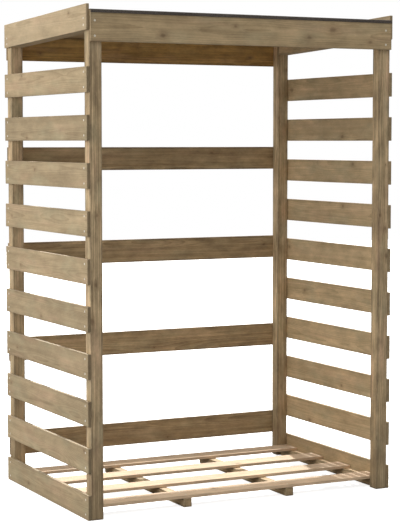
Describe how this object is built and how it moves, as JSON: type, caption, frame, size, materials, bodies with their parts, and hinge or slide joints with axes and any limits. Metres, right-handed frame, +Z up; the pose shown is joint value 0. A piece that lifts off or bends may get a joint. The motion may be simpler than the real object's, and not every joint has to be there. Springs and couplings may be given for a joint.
{
  "type": "log store",
  "caption": "Open-fronted timber log store with spaced side slats, rails across the back, a slatted floor on bearers and a felted roof that falls to the back.",
  "frame": {"origin": "on the ground at the centre of the footprint", "axes": "+X to the right along the open front, +Y from the front to the back, +Z up"},
  "size_m": [1.325, 0.899, 1.91],
  "materials": {
    "posts": "sawn, pressure treated",
    "cladding": "sawn, pressure treated",
    "bearers": "sawn, pressure treated",
    "floor": "sawn, pressure treated",
    "roof_timber": "sawn, pressure treated",
    "felt": "mineral felt, rough",
    "fixings": "zinc plated, satin"
  },
  "bodies": {
    "root": {"post_front_left": "posts", "post_front_right": "posts", "post_back_left": "posts", "post_back_right": "posts", "slat_left_1": "cladding", "slat_left_2": "cladding", "slat_left_3": "cladding", "slat_left_4": "cladding", "slat_left_5": "cladding", "slat_left_6": "cladding", "slat_left_7": "cladding", "slat_left_8": "cladding", "slat_left_9": "cladding", "slat_left_10": "cladding", "slat_right_1": "cladding", "slat_right_2": "cladding", "slat_right_3": "cladding", "slat_right_4": "cladding", "slat_right_5": "cladding", "slat_right_6": "cladding", "slat_right_7": "cladding", "slat_right_8": "cladding", "slat_right_9": "cladding", "slat_right_10": "cladding", "barge_left": "cladding", "barge_right": "cladding", "fascia": "cladding", "back_rail_1": "cladding", "back_rail_2": "cladding", "back_rail_3": "cladding", "back_rail_4": "cladding", "back_rail_top": "cladding", "floor_bearer_1": "bearers", "floor_bearer_2": "bearers", "floor_bearer_3": "bearers", "floor_bearer_4": "bearers", "floor_slat_1": "floor", "floor_slat_2": "floor", "floor_slat_3": "floor", "floor_slat_4": "floor", "roof_rail_left": "roof_timber", "roof_rail_right": "roof_timber", "roof_board": "roof_timber", "roof_felt": "felt"}
  },
  "joints": []
}
